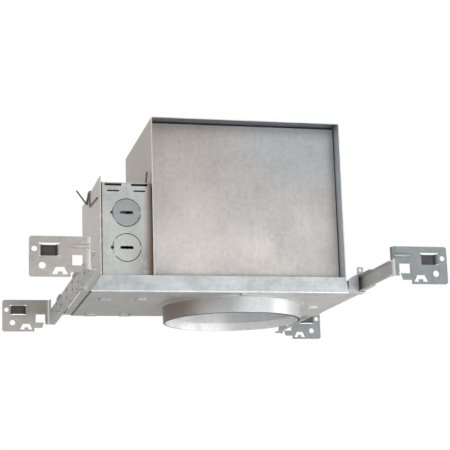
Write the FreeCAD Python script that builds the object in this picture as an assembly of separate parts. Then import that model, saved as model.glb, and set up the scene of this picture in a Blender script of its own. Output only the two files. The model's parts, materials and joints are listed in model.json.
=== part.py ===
"""Recessed light housing: a folded steel box over a flat mounting pan with a round aperture
collar, a wiring box at its left end and two telescoping hangers that slide along the pan.

Millimetres, +Z up.  The origin is the centre of the aperture at the collar's lower rim.
+X runs along the pan away from the wiring box, +Y from the front panel to the rear.
"""
import FreeCAD, Part
import os
from math import atan2, cos, hypot, pi, radians, sin, sqrt, tan
from FreeCAD import Vector

# Sheet metal and clearances
sheet = 0.9                 # galvanised sheet thickness
bend = 0.8                  # inside radius of every fold
seat_gap = 0.1              # between pieces fixed to each other
slide_gap = 0.3             # between pieces that move past each other

# Aperture collar and lamp can
collar_radius = 77.4        # outside of the collar
hem_thickness = 2.1         # the rolled hem inside the rim
collar_drop = 17.8          # rim to the underside of the pan
hem_height = 8.8            # the rim is folded inwards and up by this much
dish_depth = 1.2            # the pan is pressed down round the aperture
dish_slope = 2.6            # radial run of the pressed slope
collar_seat = 2.4           # width of the flat ring inside the dish
can_height = 173.0          # above the hem
can_corner = 8.0            # outside radius of the can's closed top

# Mounting pan
pan_left_margin = 11.3      # step line beyond the wiring box
pan_right_margin = 1.8      # step line beyond the housing box
pan_front = -97.0           # outer face of the front flange
pan_depth = 178.0           # front flange to rear flange
flange_height = 17.6
flange_rake_left = 12.0     # how far the flange's top corner stands in from its foot
flange_rake_right = 3.0
strip_left = 8.7            # width of the raised side strips
strip_right = 15.8
strip_lift = 1.2

# Housing box
box_half_width = 105.5
box_height = 190.5          # underside of the pan to the top of the box
front_inset = 17.0          # the front panel stands back behind the wrapper's edges
panel_flange = 10.0

# Wiring box
wiring_gap = 0.8            # between the wiring box and the housing box
wiring_width = 53.7         # inner face of the cover to the outside of the inner wall
wiring_depth = 150.0
wiring_height = 117.0       # roof above the underside of the pan
cover_rise = 7.0            # the cover stands above the roof
knockout_radius = 15.3
knockout_groove = 0.8
knockout_drop = 32.4        # upper knockout below the roof
knockout_pitch = 37.4
knockout_bridge = 3.2
pry_slot_length = 14.0
pry_slot_height = 3.2
entry_width = 17.6          # notches over the two cable entries
entry_offset = 14.0         # each stands this far from the wiring box's middle
entry_height = 2.6
pry_mark_drop = 8.8         # pry marks under the notches
pry_mark_height = 1.6
pry_mark_margin = 2.6

# Hangers
rail_height = 18.1
rail_fold = 6.5
inner_rail_fold = 3.8
outer_rail_length = 384.0
inner_rail_length = 372.0
right_web_margin = 2.4      # outer face of the outer rail's web beyond the pan's strip
left_web_margin = 7.0
right_outer_plate = 252.0   # outer faces of the end plates
right_inner_plate = -191.0
left_outer_plate = -212.0
left_inner_plate = 180.0
plate_width = 57.9
plate_height = 38.8
plate_drop = 5.0            # the end plates reach below the pan's underside
plate_stub = 6.5            # length of the full-height stretch of web behind each plate
lance_start = 26.0
lance_pitch = 52.0
lance_size = 11.0
lance_slot = 2.2
guide_length = 24.0
guide_hook = 3.2
toe_width = 12.0
toe_height = 1.2

# Socket inside the can
socket_drop = 31.8          # bracket below the top of the can
bracket_width = 30.0
bracket_leg_length = 62.0
bracket_slot_length = 40.0
stud_radius = 2.2
stud_drop = 32.0            # stud below the bracket
stud_travel_up = 8.0        # slot below the stud
lampholder_radius = 19.0
lampholder_height = 42.0
shell_radius = 14.2
shell_wall = 0.8
shell_depth = 30.0

# Conduit between the wiring box and the can
conduit_height = 110.0
conduit_radius = 6.5
conduit_wall = 1.0

# Heights and places that follow from the sizes above
wiring_right = -box_half_width - wiring_gap
wiring_left = wiring_right - wiring_width
wiring_middle = (wiring_left + wiring_right) / 2
pan_left = wiring_left - pan_left_margin
pan_right = box_half_width + pan_right_margin
right_web = pan_right + strip_right + right_web_margin
left_web = pan_left - strip_left - left_web_margin
pan_bottom = collar_drop
pan_top = pan_bottom + sheet
pan_back = pan_front + pan_depth
flange_top = pan_bottom + flange_height
aperture_radius = collar_radius - sheet - hem_thickness
can_radius = collar_radius - sheet - seat_gap
dish_inner = collar_radius + seat_gap + collar_seat
dish_outer = dish_inner + dish_slope
dish_top = pan_top - dish_depth
box_top = pan_bottom + box_height
box_front = pan_front + sheet + bend
box_back = pan_back - sheet - bend
front_face = box_front + front_inset
wiring_front = box_front + 1.0
wiring_back = wiring_front + wiring_depth
wiring_top = pan_bottom + wiring_height
cover_top = wiring_top + cover_rise
can_top = hem_height + can_height
socket_height = can_top - socket_drop
stud_height = socket_height - stud_drop
wiring_face_left = wiring_left + slide_gap
strip_top = pan_top + strip_lift
rail_bottom = strip_top + slide_gap
rail_top = rail_bottom + rail_height
plate_bottom = pan_bottom - plate_drop
plate_top = plate_bottom + plate_height
nested = sheet + slide_gap  # the inner rail stands in from the outer one by this much


def box(x0, y0, z0, x1, y1, z1):
    """A block between two corners."""
    return Part.makeBox(x1 - x0, y1 - y0, z1 - z0, Vector(x0, y0, z0))


def rod(radius, start, end):
    """A round bar between two points."""
    run = Vector(*end) - Vector(*start)
    return Part.makeCylinder(radius, run.Length, Vector(*start), run)


def joined(solids):
    """One solid from pieces that touch."""
    whole = solids[0]
    if len(solids) > 1:
        whole = whole.fuse(solids[1:])
    return whole.removeSplitter()


def in_xz(a, b):
    """A point of an outline drawn in the XZ plane."""
    return Vector(a, 0, b)


def in_yz(a, b):
    """A point of an outline drawn in the YZ plane."""
    return Vector(0, a, b)


def in_xy(a, b):
    """A point of an outline drawn in the XY plane."""
    return Vector(a, b, 0)


def cut_plate(outline, plane, push):
    """A flat plate from a closed outline, extruded by a vector."""
    points = [plane(a, b) for a, b in outline]
    face = Part.Face(Part.makePolygon(points + [points[0]]))
    return face.extrude(push)


def folded_sheet(path, plane, push, thickness=sheet, radius=bend):
    """A strip of sheet folded along an open path of points at mid-thickness, then extruded."""
    half = thickness / 2
    middle = radius + half
    left = []
    right = []
    count = len(path)

    def unit(p, q):
        length = hypot(q[0] - p[0], q[1] - p[1])
        return ((q[0] - p[0]) / length, (q[1] - p[1]) / length)

    def offset(point, direction, distance):
        return (point[0] - direction[1] * distance, point[1] + direction[0] * distance)

    for index, point in enumerate(path):
        if index == 0:
            direction = unit(path[0], path[1])
            left.append([offset(point, direction, half)])
            right.append([offset(point, direction, -half)])
            continue
        if index == count - 1:
            direction = unit(path[-2], path[-1])
            left.append([offset(point, direction, half)])
            right.append([offset(point, direction, -half)])
            continue
        before = unit(path[index - 1], point)
        after = unit(point, path[index + 1])
        turn = atan2(before[0] * after[1] - before[1] * after[0],
                     before[0] * after[0] + before[1] * after[1])
        setback = middle * tan(abs(turn) / 2)
        start = (point[0] - before[0] * setback, point[1] - before[1] * setback)
        end = (point[0] + after[0] * setback, point[1] + after[1] * setback)
        side = 1 if turn > 0 else -1
        centre = offset(start, before, side * middle)
        towards = unit(centre, point)
        for edge, sign in ((left, 1), (right, -1)):
            reach = middle - side * sign * half
            halfway = (centre[0] + towards[0] * reach, centre[1] + towards[1] * reach)
            edge.append([offset(start, before, sign * half), halfway,
                         offset(end, after, sign * half)])

    def chain(groups, backwards):
        """Straight edges between the groups and an arc through each group of three points."""
        ordered = [group[::-1] for group in groups[::-1]] if backwards else groups
        edges = []
        last = None
        for group in ordered:
            points = [plane(a, b) for a, b in group]
            if last is not None:
                edges.append(Part.makeLine(last, points[0]))
            if len(points) == 3:
                edges.append(Part.Arc(*points).toShape())
            last = points[-1]
        return edges, plane(*ordered[0][0]), last

    there, first, far = chain(left, False)
    back, back_first, back_last = chain(right, True)
    closing = [Part.makeLine(far, back_first), Part.makeLine(back_last, first)]
    wire = Part.Wire(there + [closing[0]] + back + [closing[1]])
    return Part.Face(wire).extrude(push)


def ring(inner, outer, z0, z1):
    """A short tube about the aperture's axis."""
    tube = Part.makeCylinder(outer, z1 - z0, Vector(0, 0, z0))
    return tube.cut(Part.makeCylinder(inner, z1 - z0, Vector(0, 0, z0)))


def bent_wire(points, radius):
    """Spring wire that runs straight between its points, with round elbows."""
    pieces = [rod(radius, start, end) for start, end in zip(points, points[1:])]
    pieces += [Part.makeSphere(radius, Vector(*point)) for point in points]
    return joined(pieces)


def mirrored_x(shape):
    return shape.mirror(Vector(0, 0, 0), Vector(1, 0, 0))


def mirrored_y(shape, plane_y):
    return shape.mirror(Vector(0, plane_y, 0), Vector(0, 1, 0))


def oblong(x0, x1, y0, y1, z0, z1):
    """A flat pressed pad with round ends, longest along X."""
    radius = (y1 - y0) / 2
    middle = (y0 + y1) / 2
    pad = box(x0 + radius, y0, z0, x1 - radius, y1, z1)
    ends = [Part.makeCylinder(radius, z1 - z0, Vector(x, middle, z0))
            for x in (x0 + radius, x1 - radius)]
    return joined([pad] + ends)


# Mounting pan

pad_depth = 2.0             # pressed pads under the pan that hold the wiring box
pad_length = 13.0
pad_width = 5.0
tab_width = 21.0            # pressed tab in the narrow strip before the collar
tab_depth = 1.2
pad_inset = 16.0            # pads inside the wiring box's ends


def pan_end_wedge(foot_x, rake):
    """What is cut from a flange's end so that it leans in towards its top."""
    outward = -1 if rake > 0 else 1
    foot = pan_top + bend
    outline = [(foot_x + outward, foot), (foot_x, foot), (foot_x + rake, flange_top + 1.0),
               (foot_x + outward, flange_top + 1.0)]
    wedge = cut_plate(outline, in_xz, Vector(0, pan_depth + 2.0, 0))
    wedge.translate(Vector(0, pan_front - 1.0, 0))
    return wedge


def pan_strip(edge, outward, width):
    """A side strip of the pan, raised by a small joggle."""
    level = pan_bottom + sheet / 2
    half_lift = strip_lift / 2
    path = [(edge - outward * 3.0, level), (edge - outward * half_lift, level),
            (edge + outward * half_lift, level + strip_lift),
            (edge + outward * width, level + strip_lift)]
    margin = sheet + bend
    strip = folded_sheet(path, in_xz, Vector(0, pan_depth - 2 * margin, 0), radius=0.3)
    strip.translate(Vector(0, pan_front + margin, 0))
    return strip


def toe_tab(web, strip_edge, y0):
    """A tab of the side strip that runs under a rail and turns up outside it."""
    outboard = 1 if web > 0 else -1
    level = strip_top - sheet / 2
    reach = web + outboard * (slide_gap + sheet / 2)
    path = [(strip_edge - outboard, level), (reach, level),
            (reach, level + sheet / 2 + toe_height)]
    tab = folded_sheet(path, in_xz, Vector(0, toe_width, 0), radius=0.3)
    tab.translate(Vector(0, y0, 0))
    return tab


def pad_places():
    """Centres of the pressed pads: under the wiring box's corners and right of the collar."""
    front = wiring_front + 2 * pad_inset + pad_length
    back = wiring_back + pad_inset - pad_width
    left = wiring_left + pad_length * 0.7
    right = wiring_right - pad_width
    beside = (dish_outer + pan_right) / 2
    return ((left, front), (right, front), (left, back), (right, back), (beside, 0.0))


def make_pan():
    level = pan_bottom + sheet / 2
    front = pan_front + sheet / 2
    back = pan_back - sheet / 2
    path = [(front, flange_top), (front, level), (back, level), (back, flange_top)]
    body = folded_sheet(path, in_yz, Vector(pan_right - pan_left, 0, 0))
    body.translate(Vector(pan_left, 0, 0))
    body = body.cut(pan_end_wedge(pan_left, flange_rake_left))
    body = body.cut(pan_end_wedge(pan_right, -flange_rake_right))
    body = body.fuse([pan_strip(pan_left, -1, strip_left), pan_strip(pan_right, 1, strip_right)])

    slope_out = Part.makeCone(dish_inner, dish_outer, dish_depth,
                              Vector(0, 0, pan_bottom - dish_depth))
    slope_in = Part.makeCone(dish_inner, dish_outer, dish_depth, Vector(0, 0, dish_top))
    body = body.fuse(slope_out).cut(slope_in)
    body = body.cut(Part.makeCylinder(collar_radius + seat_gap, 3 * collar_drop))

    for x, y in pad_places():
        body = body.fuse(oblong(x - pad_length / 2, x + pad_length / 2, y - pad_width / 2,
                                y + pad_width / 2, pan_bottom - pad_depth, pan_top))
    body = body.fuse(box(-tab_width / 2, pan_front + 2 * sheet, pan_bottom - tab_depth,
                         tab_width / 2, sheet - dish_outer, pan_top))
    margin = sheet + bend
    for web, edge in ((left_web, pan_left - strip_left), (right_web, pan_right + strip_right)):
        for y in (pan_front + margin, pan_back - toe_width - margin):
            body = body.fuse(toe_tab(web, edge, y))
    return body.removeSplitter()


# Housing box

def make_wrapper():
    side = box_half_width - sheet / 2
    path = [(-side, pan_top), (-side, box_top - sheet / 2), (side, box_top - sheet / 2),
            (side, pan_top)]
    wrapper = folded_sheet(path, in_xz, Vector(0, box_back - box_front, 0))
    wrapper.translate(Vector(0, box_front, 0))
    return wrapper.cut(conduit_hole(-box_half_width - sheet, sheet - box_half_width))


def make_panel(face_y, backwards):
    """An end panel with its side and top edges turned into the box."""
    half = box_half_width - sheet - seat_gap
    top = box_top - sheet - seat_gap
    depth = backwards * panel_flange
    y0, y1 = sorted((face_y, face_y + depth))
    inner0, inner1 = sorted((face_y + backwards * sheet, face_y + 2 * depth))
    tray = box(-half, y0, pan_top, half, y1, top)
    rounded = [edge for edge in tray.Edges
               if abs(edge.CenterOfMass.y - face_y) < 0.01 and edge.CenterOfMass.z > pan_top + 1]
    tray = tray.makeFillet(bend + sheet, rounded)
    hollow = box(sheet - half, inner0, pan_top - 1, half - sheet, inner1, top - sheet)
    return tray.cut(hollow)


# Aperture collar and lamp can

def make_collar():
    wall = ring(collar_radius - sheet, collar_radius, 0, dish_top)
    hem = ring(aperture_radius, collar_radius - sheet, 0, hem_height)
    seat = ring(collar_radius - sheet, dish_inner - seat_gap, dish_top, dish_top + sheet)
    collar = joined([wall, hem, seat])
    rim = [edge for edge in collar.Edges
           if edge.BoundBox.ZMax < 0.01 and edge.BoundBox.XMax > collar_radius - 0.01]
    return collar.makeFillet(bend, rim)


def make_can():
    bottom = hem_height
    outside = Part.makeCylinder(can_radius, can_height, Vector(0, 0, bottom))
    rounded = [edge for edge in outside.Edges if edge.BoundBox.ZMin > bottom + can_height - 0.01]
    outside = outside.makeFillet(can_corner, rounded)
    inside = Part.makeCylinder(can_radius - sheet, can_height, Vector(0, 0, bottom - sheet))
    rounded = [edge for edge in inside.Edges
               if edge.BoundBox.ZMin > bottom + can_height - sheet - 0.01]
    inside = inside.makeFillet(can_corner - sheet, rounded)
    can = outside.cut(inside)
    can = can.cut(rod(stud_radius, (can_radius - 3 * sheet, 0, stud_height),
                      (can_radius + sheet, 0, stud_height)))
    return can.cut(conduit_hole(-can_radius - 2 * sheet, 3 * sheet - can_radius))


# Socket on its height bracket

leg_face = sqrt((can_radius - sheet) ** 2 - (bracket_width / 4) ** 2) - slide_gap


def make_socket_bracket():
    """A flat shelf for the lampholder with a slotted leg down the can's side."""
    level = socket_height + sheet / 2
    leg = leg_face - sheet / 2
    path = [(-lampholder_radius - 4.0, level), (leg, level), (leg, level - bracket_leg_length)]
    bracket = folded_sheet(path, in_xz, Vector(0, bracket_width / 2, 0))
    bracket.translate(Vector(0, -bracket_width / 4, 0))
    shelf = box(-lampholder_radius - 4.0, -bracket_width / 2, socket_height,
                lampholder_radius + 4.0, bracket_width / 2, socket_height + sheet)
    bracket = joined([bracket, shelf])
    slot_radius = stud_radius + slide_gap
    low = stud_height - stud_travel_up
    high = low + bracket_slot_length - 2 * slot_radius
    slot = box(leg_face - 3 * sheet, -slot_radius, low, leg_face + sheet, slot_radius, high)
    ends = [rod(slot_radius, (leg_face - 3 * sheet, 0, z), (leg_face + sheet, 0, z))
            for z in (low, high)]
    bracket = bracket.cut(slot)
    for end in ends:
        bracket = bracket.cut(end)
    for y in (-lampholder_screw_offset, lampholder_screw_offset):
        bracket = bracket.cut(Part.makeCylinder(screw_radius, 4.0, Vector(0, y, level - 2.0)))
    return bracket


lampholder_screw_offset = 10.0
screw_radius = 1.6


def make_lampholder_body():
    """The insulating cup that holds the screw shell, open at its lower end."""
    top = socket_height
    bottom = top - lampholder_height
    body = Part.makeCylinder(lampholder_radius, lampholder_height, Vector(0, 0, bottom))
    rounded = [edge for edge in body.Edges if edge.BoundBox.ZMax < bottom + 0.01]
    body = body.makeFillet(2.0, rounded)
    body = body.cut(Part.makeCylinder(shell_radius + seat_gap, shell_depth + 3.0,
                                      Vector(0, 0, bottom)))
    for y in (-lampholder_screw_offset, lampholder_screw_offset):
        body = body.cut(Part.makeCylinder(screw_radius, 7.0, Vector(0, y, top - 7.0)))
    return body


def make_lampholder_shell():
    """The thin screw shell, with rounded threads pressed into it."""
    bottom = socket_height - lampholder_height + 3.0
    shell = Part.makeCylinder(shell_radius, shell_depth, Vector(0, 0, bottom))
    core = Part.makeCylinder(shell_radius - shell_wall, shell_depth - shell_wall,
                             Vector(0, 0, bottom))
    shell = shell.cut(core)
    eye = Part.makeCylinder(5.0, 3 * shell_wall, Vector(0, 0, bottom + shell_depth - 2 * shell_wall))
    shell = shell.cut(eye)
    pitch = 3.6
    for turn in range(6):
        level = bottom + 3.0 + turn * pitch
        shell = shell.fuse(Part.makeTorus(shell_radius - shell_wall, 0.6, Vector(0, 0, level)))
    inside = Part.makeCylinder(shell_radius, 4 * shell_depth, Vector(0, 0, bottom - shell_depth))
    return shell.common(inside).removeSplitter()


def make_lampholder_contact():
    """The spring tongue at the shell's centre, standing on the cup's floor."""
    floor = socket_height - lampholder_height + shell_depth + 3.0
    stem = Part.makeCylinder(2.0, 3.0, Vector(0, 0, floor - 3.0))
    pad = Part.makeCylinder(3.6, 1.0, Vector(0, 0, floor - 4.0))
    return joined([stem, pad])


def make_lampholder_screws():
    screws = []
    for y in (-lampholder_screw_offset, lampholder_screw_offset):
        shank = Part.makeCylinder(screw_radius, 6.0 + sheet, Vector(0, y, socket_height - 6.0))
        head = Part.makeCylinder(2 * screw_radius, 1.8, Vector(0, y, socket_height + sheet))
        screws.append(joined([shank, head]))
    return Part.makeCompound(screws)


def make_height_wing_nut():
    """A stud through the can's side with the wing nut that clamps the bracket's leg."""
    inner_face = leg_face - sheet - slide_gap
    head = rod(2 * stud_radius, (can_radius, 0, stud_height), (can_radius + 1.6, 0, stud_height))
    stud = rod(stud_radius, (inner_face - 9.0, 0, stud_height), (can_radius, 0, stud_height))
    hub = rod(4.4, (inner_face - 5.0, 0, stud_height), (inner_face, 0, stud_height))
    wings = box(inner_face - 8.5, -10.0, stud_height - 1.0, inner_face - 2.0, 10.0,
                stud_height + 1.0)
    notch = rod(3.4, (inner_face - 10.0, 0, stud_height), (inner_face - 5.0, 0, stud_height))
    return joined([head, stud, hub, wings.cut(notch)])


def make_thermal_protector():
    """A sealed cut-out lying on the can's top."""
    body = box(-16.0, -7.0, can_top, 16.0, 7.0, can_top + 9.0)
    return body.makeFillet(2.0, [edge for edge in body.Edges if edge.Length < 10.0])


# Conduit

def conduit_hole(x0, x1):
    """The round passage of the conduit between two X planes."""
    return rod(conduit_radius + 2.0, (x0, 0, conduit_height), (x1, 0, conduit_height))


def conduit_tube(radius, x0, x1):
    bore = rod(conduit_radius - conduit_wall, (x0, 0, conduit_height), (x1, 0, conduit_height))
    return rod(radius, (x0, 0, conduit_height), (x1, 0, conduit_height)).cut(bore)


def make_flex_conduit():
    start = sheet - box_half_width + 4.0
    end = -can_radius - 4.0
    tube = conduit_tube(conduit_radius, start, end)
    pitch = 2.6
    for index in range(int((end - start) / pitch) - 1):
        x = start + pitch * (index + 1)
        groove = conduit_tube(conduit_radius + 1.0, x, x + pitch / 2)
        groove = groove.cut(conduit_tube(conduit_radius - 0.5, x, x + pitch / 2))
        tube = tube.cut(groove)
    return tube


def make_connector(wall_x0, wall_x1, towards):
    """A conduit fitting clamped through a wall, with its collar on the conduit's side."""
    neck = conduit_tube(conduit_radius + 2.0, wall_x0, wall_x1)
    if towards > 0:
        collar = conduit_tube(conduit_radius + 4.0, wall_x1, wall_x1 + 4.0)
        nut = conduit_tube(conduit_radius + 4.0, wall_x0 - 2.5, wall_x0)
    else:
        collar = conduit_tube(conduit_radius + 4.0, wall_x0 - 4.0, wall_x0)
        nut = conduit_tube(conduit_radius + 4.0, wall_x1, wall_x1 + 2.5)
    return joined([neck, collar, nut])


# Wiring box

def make_wiring_body():
    """Floor, inner wall and top of the wiring box, folded from one sheet."""
    wall = wiring_right - sheet / 2
    floor = pan_top + sheet / 2
    roof = wiring_top - sheet / 2
    path = [(wiring_face_left, floor), (wall, floor), (wall, roof), (wiring_face_left, roof)]
    body = folded_sheet(path, in_xz, Vector(0, wiring_depth, 0))
    body.translate(Vector(0, wiring_front, 0))
    return body.cut(conduit_hole(wiring_right - 2 * sheet, wiring_right + sheet))


def knockout_ring(z):
    """The punched groove of a knockout, which two bridges interrupt."""
    y0 = wiring_front - 1.0
    y1 = wiring_front + 2 * sheet
    outer = rod(knockout_radius, (wiring_middle, y0, z), (wiring_middle, y1, z))
    inner = rod(knockout_radius - knockout_groove, (wiring_middle, y0, z), (wiring_middle, y1, z))
    groove = outer.cut(inner)
    for angle in (150, 210, 0):
        side = (cos(radians(angle)), sin(radians(angle)))
        bridge = box(-2.0, y0, -knockout_bridge / 2, 2.0, y1, knockout_bridge / 2)
        bridge.rotate(Vector(0, 0, 0), Vector(0, 1, 0), -angle)
        bridge.translate(Vector(wiring_middle + side[0] * knockout_radius, 0,
                                z + side[1] * knockout_radius))
        groove = groove.cut(bridge)
    return groove


def pry_slot(z):
    """The slot that a screwdriver turns a knockout out by."""
    radius = pry_slot_height / 2
    reach = pry_slot_length / 2 - radius
    y0 = wiring_front - 1.0
    y1 = wiring_front + 2 * sheet
    middle = box(wiring_middle - reach, y0, z - radius, wiring_middle + reach, y1, z + radius)
    ends = [rod(radius, (wiring_middle + side * reach, y0, z), (wiring_middle + side * reach, y1, z))
            for side in (-1, 1)]
    return joined([middle] + ends)


def make_wiring_panel():
    """A flat end panel with two knockouts and notches over its cable entries."""
    left = wiring_face_left
    right = wiring_right - sheet - seat_gap
    foot = pan_top + sheet + seat_gap
    top = wiring_top - sheet - seat_gap
    inner = wiring_front + sheet
    panel = box(left, wiring_front, foot, right, inner, top)
    upper = wiring_top - knockout_drop
    for z in (upper, upper - knockout_pitch):
        panel = panel.cut(knockout_ring(z)).cut(pry_slot(z))
    for side in (-1, 1):
        x0 = wiring_middle + side * entry_offset - entry_width / 2
        x1 = x0 + entry_width
        panel = panel.cut(box(x0, wiring_front - sheet, top - entry_height, x1,
                              inner + sheet, top + sheet))
        mark = top - pry_mark_drop
        panel = panel.cut(box(x0 + pry_mark_margin, wiring_front - sheet, mark,
                              x1 - pry_mark_margin, inner + sheet, mark + pry_mark_height))
    return panel


cover_foot_length = 18.0
cover_foot_reach = 5.0
cover_foot_inset = 30.0
cover_foot_height = 6.0
cover_margin = 0.2


def make_wiring_cover():
    """The outer side of the wiring box, which swings out about its lower edge."""
    x = wiring_left - sheet / 2
    foot = pan_top + sheet + slide_gap
    front = wiring_front + cover_margin
    back = wiring_back - cover_margin
    outline = [(front, foot), (front, cover_top), (back, cover_top), (back, foot)]
    door = cut_plate(outline, in_yz, Vector(-sheet, 0, 0))
    door.translate(Vector(wiring_left, 0, 0))
    level = foot + sheet / 2
    pieces = [door]
    for y in (wiring_front + cover_foot_inset,
              wiring_back - cover_foot_inset - cover_foot_length):
        path = [(x, level + cover_foot_height), (x, level), (x + cover_foot_reach, level)]
        hook = folded_sheet(path, in_xz, Vector(0, cover_foot_length, 0), radius=0.3)
        hook.translate(Vector(0, y, 0))
        pieces.append(hook)
    return joined(pieces)


spring_radius = 0.9
loop_reach = 11.0           # finger loop of the latch
loop_rise = 7.0
loop_half = 8.0
latch_reach = 4.0           # hook over the cover's top edge
leg_length = 60.0
leg_drop = 16.0


def make_cover_spring():
    """The wire latch on the cover: a finger loop, a hook over its top edge and a lying leg."""
    face = wiring_left - sheet - spring_radius
    over = cover_top + slide_gap + spring_radius
    low = cover_top - leg_drop / 2
    points = [(face - loop_reach, loop_half, cover_top + loop_rise), (face, loop_half, low),
              (face, -loop_half, over), (wiring_left + latch_reach, -1.5 * loop_half, over),
              (face, -2.0 * loop_half, over), (face, -2.0 * loop_half, cover_top - leg_drop),
              (face, -2.0 * loop_half - leg_length, cover_top - leg_drop - latch_reach)]
    return bent_wire(points, spring_radius)


roof_loop_height = 14.0
roof_loop_spread = 12.0


def make_roof_spring():
    """The wire loop that stands on the wiring box's roof beside the housing box."""
    x = wiring_right - 2.5 * spring_radius
    foot = wiring_top + spring_radius
    y = wiring_front + roof_loop_spread
    half = roof_loop_spread / 2
    points = [(x - roof_loop_spread, y + roof_loop_spread, foot), (x - spring_radius, y + half, foot),
              (x, y, foot + roof_loop_height), (x - 3 * spring_radius, y - half, foot),
              (x - roof_loop_spread, y - spring_radius, foot)]
    return bent_wire(points, spring_radius)


clamp_width = 12.0
clamp_foot = 18.0           # where a clamp leaves the panel, below the panel's top
clamp_reach = 10.0


def make_cable_clamps():
    """Two spring tongues behind the cable entries, lying against the front panel."""
    inner = wiring_front + sheet
    top = wiring_top - sheet - slide_gap
    face = inner + sheet / 2
    path = [(face, top - 2 * clamp_foot), (face, top - clamp_foot),
            (inner + clamp_reach, top - clamp_foot / 2), (inner + clamp_reach, top - clamp_foot)]
    clamps = []
    for side in (-1, 1):
        clamp = folded_sheet(path, in_yz, Vector(clamp_width, 0, 0), radius=0.4)
        clamp.translate(Vector(wiring_middle + side * entry_offset - clamp_width / 2, 0, 0))
        clamps.append(clamp)
    return Part.makeCompound(clamps)


ground_head_radius = 4.0
ground_head_height = 2.4
ground_place = 20.0


def make_ground_screw():
    """The earthing screw in the wiring box floor."""
    z = pan_top + sheet
    radius = ground_head_radius
    head = Part.makeCylinder(radius, ground_head_height, Vector(wiring_middle, ground_place, z))
    slot = box(wiring_middle - 2 * radius, ground_place - 0.6, z + ground_head_height / 2,
               wiring_middle + 2 * radius, ground_place + 0.6, z + 2 * ground_head_height)
    return head.cut(slot)


connector_width = 9.0
connector_length = 16.0
connector_height = 7.0
connector_pitch = 12.0


def make_wire_connectors():
    """Three push-in connectors lying on the wiring box floor."""
    z = pan_top + sheet
    middle = z + connector_height / 2
    blocks = []
    for index in (-1, 0, 1):
        x = wiring_middle + index * connector_pitch - connector_width / 2
        body = box(x, -connector_length, z, x + connector_width, 0, z + connector_height)
        for share in (0.28, 0.72):
            hole = x + share * connector_width
            body = body.cut(rod(1.3, (hole, -2 * connector_length, middle),
                                (hole, -connector_length / 3, middle)))
        blocks.append(body)
    return Part.makeCompound(blocks)


# Hangers, drawn for the right-hand side with the web's outer face at x = 0

def rail(bottom, top, fold, y0, y1):
    """A channel open towards the pan."""
    web = -sheet / 2
    path = [(-fold, bottom + sheet / 2), (web, bottom + sheet / 2), (web, top - sheet / 2),
            (-fold, top - sheet / 2)]
    channel = folded_sheet(path, in_xz, Vector(0, y1 - y0, 0))
    channel.translate(Vector(0, y0, 0))
    return channel


window_low = 20.0           # heights above the plate's lower edge, runs in from its outer end
window_high = 32.5
window_start = 9.0
window_end = 29.0
strap_low = 20.8
strap_high = 31.2
strap_set_back = 5.0
strap_slope = 4.0
small_hole = (5.0, 26.6, 2.7)
large_hole = (12.4, 10.8, 3.3)
square_hole = (40.5, 52.0, 11.0, 21.0)
finger_step = 4.3
bead_height = 29.5
bead_radius = 2.6
bead_rise = 1.2
bead_length = 16.0
plate_bend = 4.0            # inside radius of the fold between plate and rail
finger_start = 39.0
leg_edge = 5.6              # the open space under the plate starts here, just past the fold


def end_plate(y, bottom_of_rail):
    """A nail plate whose outer face looks towards -Y, with the bend that joins it to its rail."""
    middle = y + sheet / 2
    path = [(-sheet / 2, y + plate_stub), (-sheet / 2, middle), (plate_width, middle)]
    plate = folded_sheet(path, in_xy, Vector(0, 0, plate_height), radius=plate_bend)
    plate.translate(Vector(0, 0, plate_bottom))
    rounded = [edge for edge in plate.Edges
               if edge.BoundBox.XMin > plate_width - 0.01 and edge.Length < 2 * sheet]
    plate = plate.makeFillet(3.0, rounded)

    def at(run):
        return plate_width - run

    def slice_of(outline):
        cutter = cut_plate(outline, in_xz, Vector(0, 4 * sheet, 0))
        cutter.translate(Vector(0, y - sheet, plate_bottom))
        return cutter

    foot = bottom_of_rail - plate_bottom
    finger_end = at(square_hole[1])
    mouth = square_hole[2] + 1.0
    finger = at(finger_start)
    under = [(leg_edge, -1.0), (leg_edge, mouth), (finger_end + 1.0, mouth),
             (finger_end + 3.6, finger_step), (finger, finger_step), (finger, -1.0)]
    plate = plate.cut(slice_of(under))
    plate = plate.cut(box(-2 * sheet, y - sheet, plate_bottom - 1.0, leg_edge,
                          y + 2 * plate_stub, plate_bottom + foot))
    left, right, low, high = at(square_hole[1]), at(square_hole[0]), square_hole[2], square_hole[3]
    plate = plate.cut(slice_of([(left, low), (right, low), (right, high), (left, high)]))
    left, right = at(window_end), at(window_start)
    plate = plate.cut(slice_of([(left, window_low), (right, window_low), (right, window_high),
                                (left, window_high)]))
    tongue = [(at(36.5), 2.4), (at(33.0), 9.4), (at(25.0), 9.4), (at(21.5), 2.4), (at(27.0), 2.4),
              (at(27.0), 5.0), (at(31.5), 5.0), (at(31.5), 2.4)]
    plate = plate.cut(slice_of(tongue))
    for run, height, radius in (small_hole, large_hole):
        plate = plate.cut(rod(radius, (at(run), y - sheet, plate_bottom + height),
                              (at(run), y + 2 * sheet, plate_bottom + height)))

    strap_path = [(left - 1.0, middle), (left + 0.6, middle),
                  (left + strap_slope, middle + strap_set_back),
                  (right - strap_slope, middle + strap_set_back), (right - 0.6, middle),
                  (right + 1.0, middle)]
    strap = folded_sheet(strap_path, in_xy, Vector(0, 0, strap_high - strap_low), radius=0.2)
    strap.translate(Vector(0, 0, plate_bottom + strap_low))
    level = plate_bottom + bead_height
    core = y + bead_radius - bead_rise
    bead = rod(bead_radius, (1.0, core, level), (bead_length, core, level))
    bead = bead.fuse(Part.makeSphere(bead_radius, Vector(bead_length, core, level)))
    bead = bead.common(box(0.0, y - bead_rise, plate_bottom, plate_width, y + sheet, plate_top))
    return joined([plate, strap, bead])


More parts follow.
